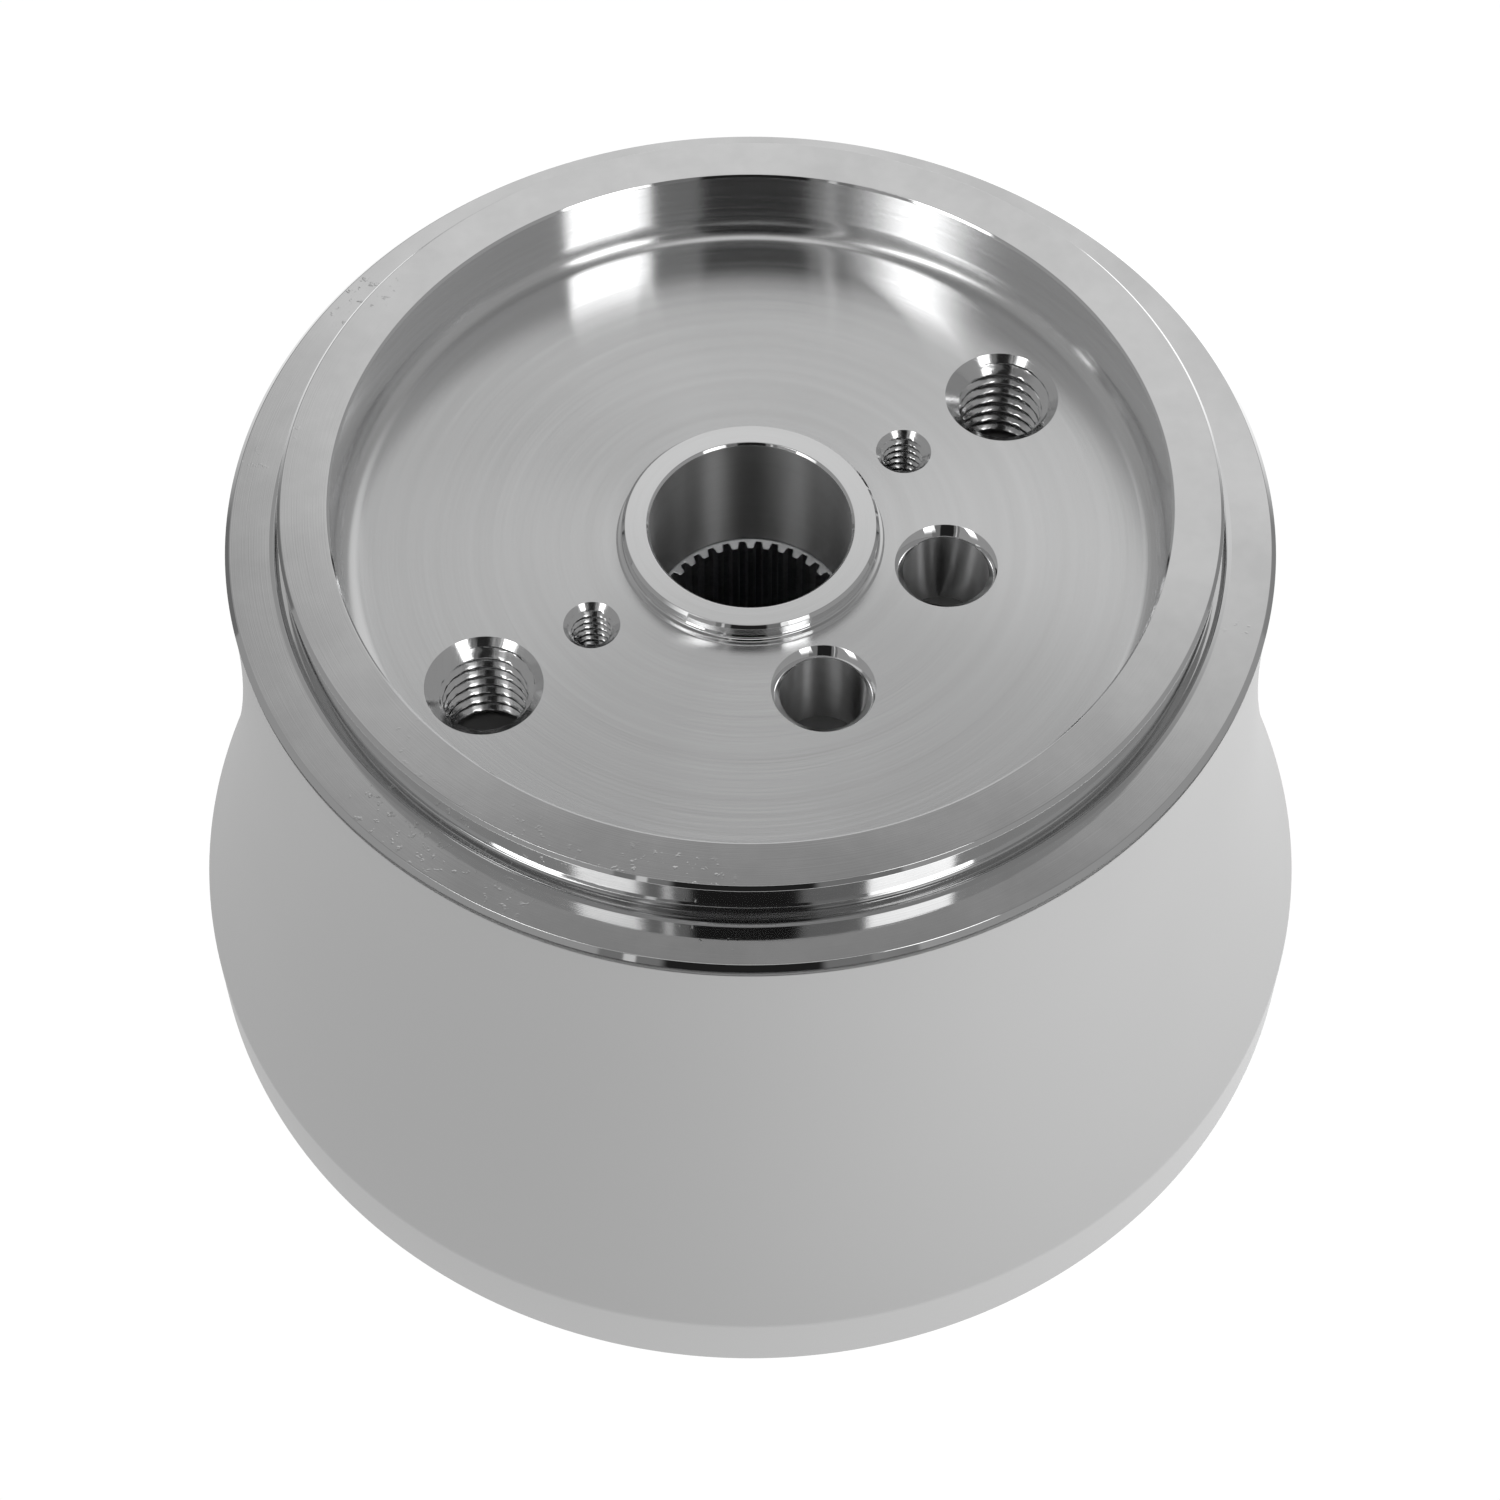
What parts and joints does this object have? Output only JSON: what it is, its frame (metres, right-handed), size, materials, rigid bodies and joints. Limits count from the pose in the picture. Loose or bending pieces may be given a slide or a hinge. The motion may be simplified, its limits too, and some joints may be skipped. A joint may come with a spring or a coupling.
{
  "type": "supercharger nose drive",
  "caption": "Supercharger nose drive: flared matte housing carrying a polished, splined pulley hub on two ball bearings.",
  "frame": {"origin": "centre of the housing's mounting face", "axes": "+Z along the hub's spin axis, from the mounting face towards the pulley seat; +Y is away from the viewer, and the threaded holes lie on a line 35 degrees from +X"},
  "size_m": [0.1586, 0.1586, 0.092],
  "materials": {
    "polished_aluminium": "turned and polished, fine concentric marks",
    "blasted_aluminium": "fine satin, as blasted",
    "spline_steel": "broached",
    "bearing_steel": "ground",
    "plate_steel": "pressed and plated",
    "black_oxide_steel": "black oxide, satin",
    "cage_brass": "machined",
    "seal_rubber": "moulded, matt"
  },
  "bodies": {
    "housing": {"snout_housing": "blasted_aluminium", "front_bearing_outer_race": "bearing_steel", "rear_bearing_outer_race": "bearing_steel", "bearing_circlip": "black_oxide_steel", "oil_seal_case": "plate_steel", "oil_seal_lip": "seal_rubber", "oil_seal_garter_spring": "plate_steel", "mounting_face_oring": "seal_rubber", "rear_bearing_retainer": "plate_steel", "retainer_screw_1": "black_oxide_steel", "retainer_screw_2": "black_oxide_steel", "retainer_screw_3": "black_oxide_steel", "retainer_screw_4": "black_oxide_steel", "retainer_screw_5": "black_oxide_steel", "retainer_screw_6": "black_oxide_steel"},
    "hub": {"drive_hub": "polished_aluminium", "spline_insert": "spline_steel", "insert_keeper_ring": "black_oxide_steel", "front_bearing_inner_race": "bearing_steel", "rear_bearing_inner_race": "bearing_steel", "inner_race_spacer": "bearing_steel", "locknut_tab_washer": "plate_steel", "bearing_locknut": "black_oxide_steel"},
    "front_cage": {"front_bearing_cage": "cage_brass", "front_ball_1": "bearing_steel", "front_ball_2": "bearing_steel", "front_ball_3": "bearing_steel", "front_ball_4": "bearing_steel", "front_ball_5": "bearing_steel", "front_ball_6": "bearing_steel", "front_ball_7": "bearing_steel", "front_ball_8": "bearing_steel", "front_ball_9": "bearing_steel"},
    "rear_cage": {"rear_bearing_cage": "cage_brass", "rear_ball_1": "bearing_steel", "rear_ball_2": "bearing_steel", "rear_ball_3": "bearing_steel", "rear_ball_4": "bearing_steel", "rear_ball_5": "bearing_steel", "rear_ball_6": "bearing_steel", "rear_ball_7": "bearing_steel", "rear_ball_8": "bearing_steel", "rear_ball_9": "bearing_steel"}
  },
  "joints": [
    {"name": "hub_spin", "type": "hinge", "parent": "housing", "child": "hub", "pos_m": [0, 0, 0.043], "axis": [0, 0, 1], "continuous": true},
    {"name": "front_cage_spin", "type": "hinge", "parent": "housing", "child": "front_cage", "pos_m": [0, 0, 0.0432], "axis": [0, 0, 1], "continuous": true},
    {"name": "rear_cage_spin", "type": "hinge", "parent": "housing", "child": "rear_cage", "pos_m": [0, 0, 0.0206], "axis": [0, 0, 1], "continuous": true}
  ],
  "couplings": [
    {"joint": "front_cage_spin", "follows": "hub_spin", "ratio": 0.4008},
    {"joint": "rear_cage_spin", "follows": "hub_spin", "ratio": 0.4008}
  ]
}
